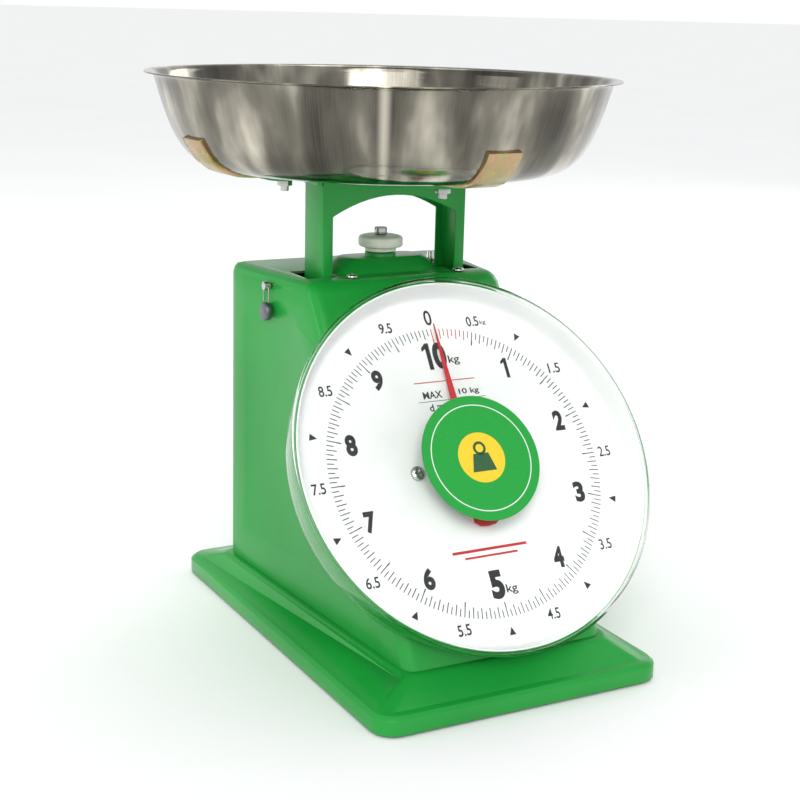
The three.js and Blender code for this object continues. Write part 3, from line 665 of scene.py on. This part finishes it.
class DIALSCALE_OT_housing(bpy.types.Operator):
    """Models the enamelled housing, with its side walls pushed in a little, and its rear cover"""

    bl_idname = "dialscale.housing"
    bl_label = "Housing"

    def panel_sides(self):
        """Planes round a side panel: a point and a direction that points into the panel, on y and z."""
        return [
            ((0.058, 0.1), (-1, 0)),
            ((0.03, 0.196), (0, -1)),
            ((-0.1, 0.044), (0, 1)),
            ((0.0012, 0.187), (math.cos(LEAN), -math.sin(LEAN))),
            ((0.051, 0.196), (-0.707, -0.707)),
            ((0.0145, 0.196), (0.37, -0.929)),
        ]

    def inside(self, y, z, margin):
        for (py, pz), (ny, nz) in self.panel_sides():
            if (y - py) * ny + (z - pz) * nz < margin - 1e-6:
                return False
        return True

    def press(self, piece, side, depth):
        border = 0.0035
        for (py, pz), (ny, nz) in self.panel_sides():
            for margin in (0, border):
                editing(piece, "FACE")
                bpy.ops.mesh.select_all(action="DESELECT")
                done_editing()
                for face in piece.data.polygons:
                    wall = face.normal.x * side > 0.97 and face.center.x * side > 0.06
                    face.select = wall and face.center.y < 0.0735 and face.center.z < 0.2
                bpy.ops.object.mode_set(mode="EDIT")
                point = (0, py + ny * margin, pz + nz * margin)
                bpy.ops.mesh.bisect(plane_co=point, plane_no=(0, ny, nz))
                done_editing()
        editing(piece, "VERT")
        bpy.ops.mesh.select_all(action="DESELECT")
        done_editing()
        for vertex in piece.data.vertices:
            x, y, z = vertex.co
            vertex.select = x * side > 0.0605 and self.inside(y, z, border)
        bpy.ops.object.mode_set(mode="EDIT")
        bpy.ops.transform.translate(value=(-side * depth, 0, 0))
        done_editing()

    def execute(self, context):
        sizes = context.scene.dialscale_sizes
        enamel = enamel_paint("green_enamel", tuple(context.scene.dialscale_colours.enamel), bare_slots=True)
        shell = dressed("housing_shell", "enamelled_housing", enamel, sizes.sheet_edge * 0.6, 2, 32)
        for side in (-1, 1):
            self.press(shell, side, sizes.panel_depth)
        only(shell)
        bpy.ops.object.shade_smooth_by_angle(angle=math.radians(35))
        dressed("rear_cover", "rear_door", enamel, 0.0004)
        return {"FINISHED"}


class DIALSCALE_OT_base(bpy.types.Operator):
    """Models the base pan and its rubber feet"""

    bl_idname = "dialscale.base"
    bl_label = "Base and feet"

    def execute(self, context):
        enamel = enamel_paint("green_enamel_base", tuple(context.scene.dialscale_colours.enamel))
        dressed("base_pan", "enamelled_base", enamel, 0.0006, 2, 24, 40, 0.02)
        rubber = rubber_paint()
        for place in ("front_left", "front_right", "rear_left", "rear_right"):
            low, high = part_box(f"foot_{place}")
            middle = (low + high) / 2
            foot = turned(
                f"rubber_foot_{place}",
                [(4.6, 0.9), (4.9, 0), (6.2, 0), (6.9, 0.7), (7, 1.2), (6.4, 9.6), (6.1, 9.8)],
                48,
            )
            moved(foot, Matrix.Translation((middle.x, middle.y, 0)))
            finished(foot, "housing", rubber, [f"foot_{place}"])
        return {"FINISHED"}


class DIALSCALE_OT_bridge(bpy.types.Operator):
    """Models the enamelled bridge and the plate that carries the tray"""

    bl_idname = "dialscale.bridge"
    bl_label = "Bridge and tray plate"

    def execute(self, context):
        sizes = context.scene.dialscale_sizes
        enamel = enamel_paint("green_enamel_bridge", tuple(context.scene.dialscale_colours.enamel))
        dressed("bridge_frame", "enamelled_bridge", enamel, sizes.sheet_edge, 3, 40)
        dressed("tray_plate", "enamelled_tray_plate", enamel, sizes.sheet_edge * 0.6, 2, 32)
        return {"FINISHED"}


BOWL_SIDE = (
    (40, 0), (88, 0), (95, 0.12), (100, 0.62), (104.5, 1.6), (108.5, 3.2), (112, 5.4), (115.4, 8.3),
    (118.3, 11.9), (121.2, 16.5), (124, 22), (126.6, 28.3), (129, 35), (131.3, 42.5), (133.2, 49.2),
    (133.9, 51.6), (135, 53.05), (136.8, 53.75), (140.4, 53.95),
)


class DIALSCALE_OT_bowl(bpy.types.Operator):
    """Spins the polished bowl and its rolled rim"""

    bl_idname = "dialscale.bowl"
    bl_label = "Bowl"

    def execute(self, context):
        sizes = context.scene.dialscale_sizes
        skin = turned("polished_bowl", list(BOWL_SIDE), sizes.round_steps, caps=False)
        editing(skin, "EDGE")
        bpy.ops.mesh.select_all(action="DESELECT")
        done_editing()
        for edge in skin.data.edges:
            first, second = (skin.data.vertices[i].co for i in edge.vertices)
            edge.select = max(first.xy.length, second.xy.length) < 0.0405
        bpy.ops.object.mode_set(mode="EDIT")
        bpy.ops.mesh.extrude_region_move()
        bpy.ops.transform.resize(value=(0.05, 0.05, 1), center_override=(0, 0, 0))
        bpy.ops.mesh.merge(type="CENTER")
        outward(skin)
        editing(skin)
        bpy.ops.mesh.normals_make_consistent(inside=False)
        done_editing()
        applied(skin, "SOLIDIFY", thickness=sizes.bowl_wall, offset=-1.0)
        rounded(skin, 0.0003, 2, 60)
        moved(skin, Matrix.Translation((BOWL_CENTRE.x, BOWL_CENTRE.y, BOWL_FLOOR)))
        steel = polished_paint("polished_stainless_painted_reflections", (0.44, 0.41, 0.34), BOWL_CENTRE)
        finished(skin, "bowl", steel, ["bowl"], 45)
        return {"FINISHED"}


class DIALSCALE_OT_spider(bpy.types.Operator):
    """Gives the tray spider its plated straps, and its bolts and nuts their finish"""

    bl_idname = "dialscale.spider"
    bl_label = "Tray spider"

    def execute(self, context):
        dressed("tray_spider", "plated_spider", zinc_paint(), 0.0005, 2, 40, 30)
        plating = plated_paint("bright_plating", (0.40, 0.40, 0.38), (0.58, 0.58, 0.55), 0.2)
        for place in ("right", "rear", "left", "front"):
            dressed(f"tray_bolt_{place}", f"plated_bolt_{place}", plating, 0.0003)
            dressed(f"tray_nut_{place}", f"plated_nut_{place}", plating, 0.0003)
        return {"FINISHED"}


class DIALSCALE_OT_dial(bpy.types.Operator):
    """Turns the dial's pan and its white plate"""

    bl_idname = "dialscale.dial"
    bl_label = "Dial"

    def execute(self, context):
        scene = context.scene
        steps = scene.dialscale_sizes.round_steps
        lift = Matrix.Translation((0, DISH_LIFT * MM, 0))
        enamel = enamel_paint("green_enamel_pan", tuple(scene.dialscale_colours.enamel))
        pan = turned(
            "enamelled_pan",
            [
                (7, -9.65), (95, -9.65), (98.2, -9.1), (101, -7.65), (103, -6.4), (104, -5), (105.1, -1.6),
                (105.9, 2), (106.65, 4.2), (107.7, 9), (108.25, 12.8), (107.9, 12.8), (107.4, 9),
                (106.35, 4.2), (105.55, 2), (104.5, -1.6), (102.5, -4.8), (101.4, -5.9), (99.8, -6.7),
                (94.6, -8.15), (7, -8.15),
            ],
            steps, closed=True,
        )
        moved(pan, DIAL @ lift)
        finished(pan, "housing", enamel, ["dial_pan"])
        plate = turned(
            "white_dial",
            [
                (4, -1.2), (102, -1.2), (103.4, -0.8), (104.5, 0.2), (105.4, 2), (106.2, 4.2), (107.2, 9),
                (107.8, 13.1), (107.6, 13.5), (107, 13.5), (106.8, 13.1), (105.9, 8.4), (105.1, 4.6),
                (104.3, 2.6), (103.4, 1.1), (102.2, 0.25), (100.8, 0), (4, 0),
            ],
            steps, closed=True,
        )
        moved(plate, DIAL @ lift)
        white = enamel_paint("white_enamel", tuple(scene.dialscale_colours.face), {"Coat Weight": 0.06})
        finished(plate, "housing", white, ["dial_plate"])
        return {"FINISHED"}


class DIALSCALE_OT_print(bpy.types.Operator):
    """Prints the ticks, the figures and the marks on the dial"""

    bl_idname = "dialscale.print"
    bl_label = "Dial print"

    def execute(self, context):
        scene = context.scene
        black = ink_paint("black_ink", tuple(scene.dialscale_colours.ink))
        red = ink_paint("red_ink", tuple(scene.dialscale_colours.red))
        outer = scene.dialscale_sizes.tick_radius / MM
        on_dial = DIAL

        ticks = joined(
            "dial_ticks",
            [
                tick_ring(outer, outer - 4.3, 0.27, 200),
                tick_ring(outer - 4.3, outer - 6.2, 0.29, 100),
                tick_ring(outer - 6.2, outer - 8.6, 0.36, 20),
            ],
        )
        ticks.data.materials.clear()
        ticks.data.materials.append(black)
        ticks.data.materials.append(red)
        for face in ticks.data.polygons:
            turn = math.degrees(math.atan2(face.center.x, face.center.y)) % 360
            face.material_index = 1 if turn < 17.5 or turn > 359.5 else 0
        moved(ticks, on_dial)
        finished(ticks, "housing", None)

        figures = []
        figures.append(printed_one(12.4, 4.2, *around_dial(1, 71.5)))
        for number in (2, 3, 4, 6, 7, 8):
            x, y = around_dial(number, 71.5)
            figures.append(printed_text(str(number), 12.4, 6.8, x, y, 0.05))
        nine = printed_text("6", 12.4, 6.8, 0, 0, 0.05, math.pi)
        x, y = around_dial(9, 71.5)
        figures.append(moved(nine, Matrix.Translation((x * MM, y * MM, 0))))
        figures.append(printed_one(16.4, 5.2, -6.9, 69.3))
        figures.append(printed_text("0", 16.4, 8.4, 1.2, 69.3, 0.055))
        figures.append(printed_text("kg", 6.2, 7.2, 9.8, 65.8, 0.014))
        figures.append(printed_text("5", 16.4, 8.6, -1.7, -67.2, 0.055))
        figures.append(printed_text("kg", 6.2, 7.2, 7, -71, 0.014))
        figures.append(printed_text("0", 9.4, 4.8, 0, 93, 0.012))
        for half in range(10):
            x, y = around_dial(half + 0.5, 93.2)
            words = f"{half}.5"
            figures.append(printed_text(words, 6.3, 8.2, x, y, 0.016))
        x, y = around_dial(0.5, 93.2)
        figures.append(printed_text("kg", 3.4, 4, x + 6.8, y - 1.3, 0.01))
        figures.append(printed_text("MAX", 4.4, 12.4, -10, 46, 0.02))
        figures.append(printed_text("10 kg", 4.4, 13.4, 14, 46, 0.02))
        figures.append(printed_text("50 g", 4.4, 10.4, 14, 38.4, 0.02))
        figures.append(printed_text("d =", 4.4, 8, -10, 38.4, 0.02))
        figures.append(printed_shape([(-20, 42), (24, 42), (24, 42.35), (-20, 42.35)]))
        for number in range(1, 10):
            x, y = around_dial(number, 94)
            turn = -FULL_TURN * number / 10
            cos, sin = math.cos(turn), math.sin(turn)
            spots = [(0, -2.6), (2.1, 2), (-2.1, 2)]
            corners = [(x + a * cos - b * sin, y + a * sin + b * cos) for a, b in spots]
            figures.append(printed_shape(corners))
        print_black = joined("dial_figures", figures)
        moved(print_black, on_dial)
        finished(print_black, "housing", black)

        bars = [
            printed_shape([(-24, -47.4), (24, -47.4), (24, -45.8), (-24, -45.8)]),
            printed_shape([(-17, -51), (17, -51), (17, -49.8), (-17, -49.8)]),
            printed_shape([(-20, 53.4), (20, 53.4), (20, 54), (-20, 54)]),
        ]
        print_red = joined("dial_red_lines", bars)
        moved(print_red, on_dial)
        finished(print_red, "housing", red)
        return {"FINISHED"}


class DIALSCALE_OT_pointer(bpy.types.Operator):
    """Finishes the pointer, its hub and its shaft"""

    bl_idname = "dialscale.pointer"
    bl_label = "Pointer"

    def execute(self, context):
        red = plastic_paint("pointer_enamel", tuple(context.scene.dialscale_colours.red), 0.25)
        dressed("pointer", "red_pointer", red, 0.00012, 2, 40)
        brass = plated_paint("turned_brass", (0.66, 0.46, 0.17), (0.76, 0.56, 0.25), 0.22)
        dressed("pointer_hub", "brass_hub", brass, 0.0002, 2, 40)
        steel = plated_paint("ground_steel", (0.45, 0.45, 0.44), (0.6, 0.6, 0.59), 0.25)
        dressed("pointer_shaft", "steel_shaft", steel, 0.0002, 2, 40)
        return {"FINISHED"}


class DIALSCALE_OT_cover(bpy.types.Operator):
    """Turns the clear cover and its round label"""

    bl_idname = "dialscale.cover"
    bl_label = "Clear cover and label"

    def execute(self, context):
        scene = context.scene
        steps = scene.dialscale_sizes.round_steps
        lift = Matrix.Translation((0, DISH_LIFT * MM, 0))
        cover = turned(
            "clear_dial_cover",
            [
                (2, 15.4), (107.4, 15.4), (108.3, 15.1), (108.95, 14.3), (109.2, 13.6), (103.8, -9.5),
                (104, -9.65), (105.1, -9.65), (105.3, -9.5), (110.75, 13.4), (110.8, 14), (110.55, 15.2),
                (109.9, 16.1), (109, 16.7), (107.8, 17), (2, 17),
            ],
            steps, closed=False,
        )
        moved(cover, DIAL @ lift)
        finished(cover, "housing", clear_paint(), ["clear_cover"])

        colours = scene.dialscale_colours
        edge = [(15.2, 17.37), (36.2, 17.37), (36.5, 17.5), (36.4, 17.75), (15.2, 17.75)]
        badge = turned("round_label", edge, steps)
        moved(badge, DIAL @ lift)
        green = ink_paint("label_green", tuple(colours.badge))
        finished(badge, "housing", green, ["cover_badge"])
        middle = turned("label_middle", [(14.6, 17.76), (14.6, 17.8)], 96)
        moved(middle, DIAL @ lift)
        yellow = ink_paint("label_yellow", tuple(colours.badge_middle))
        finished(middle, "housing", yellow)
        section = [(30.6, 17.76), (31.2, 17.76), (31.2, 17.8), (30.6, 17.8)]
        ring = turned("label_ring", section, 96, closed=True)
        moved(ring, DIAL @ lift)
        finished(ring, "housing", ink_paint("label_white", (0.8, 0.82, 0.8)))
        sign = [
            printed_shape([(-7.6, -8), (7.6, -8), (4.8, 2.4), (-4.8, 2.4)]),
            turned("weight_eye", [(2.4, 0.025), (4, 0.025), (4, 0.055), (2.4, 0.055)], 48, closed=True),
        ]
        moved(sign[1], Matrix.Translation((0, 5.4 * MM, 0)))
        mark = joined("label_weight", sign)
        moved(mark, DIAL @ lift @ Matrix.Translation((0, 0, 17.79 * MM)))
        finished(mark, "housing", ink_paint("label_dark", (0.02, 0.10, 0.03)))
        return {"FINISHED"}


class DIALSCALE_OT_knob(bpy.types.Operator):
    """Turns the zero knob and rounds the edges of its screw"""

    bl_idname = "dialscale.knob"
    bl_label = "Zero knob"

    def execute(self, context):
        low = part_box("zero_knob")[0].z / MM
        knob = turned(
            "moulded_knob",
            [
                (3.4, 0), (9.1, 0), (9.5, 0.4), (9.5, 2), (9.8, 2.3), (12.6, 2.8), (13.2, 3.3), (13.5, 4.1),
                (13.5, 7.5), (13.1, 8.4), (12.3, 9), (10.2, 9.5), (9.4, 9.6), (8.2, 9.4), (6.4, 9.4),
                (5.6, 9.6), (3.4, 9.6),
            ],
            96, closed=True,
        )
        moved(knob, Matrix.Translation((0, KNOB_Y, low * MM)))
        tint = tuple(context.scene.dialscale_colours.knob)
        finished(knob, "zero_knob", plastic_paint("knob_plastic", tint, 0.3), ["zero_knob"], 28)
        plating = plated_paint("zero_screw_plating", (0.5, 0.5, 0.48), (0.66, 0.66, 0.63), 0.22)
        dressed("zero_screw", "slotted_zero_screw", plating, 0.0003)
        return {"FINISHED"}


class DIALSCALE_OT_fastenings(bpy.types.Operator):
    """Finishes the screws, the seal and the inner mechanism"""

    bl_idname = "dialscale.fastenings"
    bl_label = "Screws, seal and mechanism"

    def execute(self, context):
        edge = context.scene.dialscale_sizes.fine_edge
        chrome = plated_paint("screw_plating", (0.44, 0.44, 0.42), (0.66, 0.66, 0.63), 0.12)
        screws = (
            "top_screw_left", "top_screw_right", "lock_screw", "dial_screw_left", "dial_screw_right",
            "rear_cover_screw_left", "rear_cover_screw_right", "seal_screw",
        )
        for screw in screws:
            dressed(screw, f"plated_{screw}", chrome, edge, 2, 35, 40)
        lead = plated_paint("cast_lead", (0.16, 0.17, 0.18), (0.3, 0.31, 0.32), 0.42)
        dressed("lead_seal", "crimped_lead", lead, 0.0006, 2, 35)
        wire = plated_paint("twisted_wire", (0.4, 0.4, 0.38), (0.55, 0.55, 0.52), 0.3)
        painted(wire, "seal_wire")
        steel = plated_paint("bare_steel", (0.36, 0.37, 0.37), (0.52, 0.53, 0.53), 0.3)
        bars = (
            "stop_bar", "support_bracket_left", "support_bracket_right", "movement_bracket",
            "carriage_side_left", "carriage_side_right", "carriage_foot_bar", "carriage_cross_bar",
            "upper_lever", "lower_lever", "spring_hanger", "upper_fixed_pin", "lower_fixed_pin",
            "upper_moving_pin", "lower_moving_pin",
        )
        for bar in bars:
            dressed(bar, f"steel_{bar}", steel, edge, 2, 35, 35)
        spring = plated_paint("spring_wire", (0.3, 0.3, 0.3), (0.44, 0.44, 0.43), 0.25)
        painted(spring, "spring_left", "spring_right")
        brass = plated_paint("brass_fittings", (0.62, 0.43, 0.16), (0.74, 0.54, 0.24), 0.25)
        for fitting in ("front_bush", "rear_bush", "pinion", "rack", "bimetal_arm"):
            dressed(fitting, f"brass_{fitting}", brass, edge * 0.3, 2, 35, 25)
        return {"FINISHED"}


class DIALSCALE_PT_pieces(bpy.types.Panel):
    """Buttons that make the scale's pieces"""

    bl_label = "Dial platform scale"
    bl_idname = "DIALSCALE_PT_pieces"
    bl_space_type = "VIEW_3D"
    bl_region_type = "UI"
    bl_category = "Dial scale"

    def draw(self, context):
        layout = self.layout
        for group in (context.scene.dialscale_sizes, context.scene.dialscale_colours):
            column = layout.column(align=True)
            for name in group.__annotations__:
                column.prop(group, name)
        column = layout.column(align=True)
        for operator in OPERATORS:
            column.operator(operator.bl_idname)


OPERATORS = (
    DIALSCALE_OT_stage,
    DIALSCALE_OT_housing,
    DIALSCALE_OT_base,
    DIALSCALE_OT_bridge,
    DIALSCALE_OT_bowl,
    DIALSCALE_OT_spider,
    DIALSCALE_OT_dial,
    DIALSCALE_OT_print,
    DIALSCALE_OT_pointer,
    DIALSCALE_OT_cover,
    DIALSCALE_OT_knob,
    DIALSCALE_OT_fastenings,
)
CLASSES = (ScaleSizes, ScaleColours, *OPERATORS, DIALSCALE_PT_pieces)


def register():
    for cls in CLASSES:
        bpy.utils.register_class(cls)
    bpy.types.Scene.dialscale_sizes = PointerProperty(type=ScaleSizes)
    bpy.types.Scene.dialscale_colours = PointerProperty(type=ScaleColours)


def unregister():
    del bpy.types.Scene.dialscale_colours
    del bpy.types.Scene.dialscale_sizes
    for cls in reversed(CLASSES):
        bpy.utils.unregister_class(cls)


def main():
    register()
    for operator in OPERATORS:
        group, name = operator.bl_idname.split(".")
        getattr(getattr(bpy.ops, group), name)()
    nothing_selected()


if __name__ == "__main__":
    main()
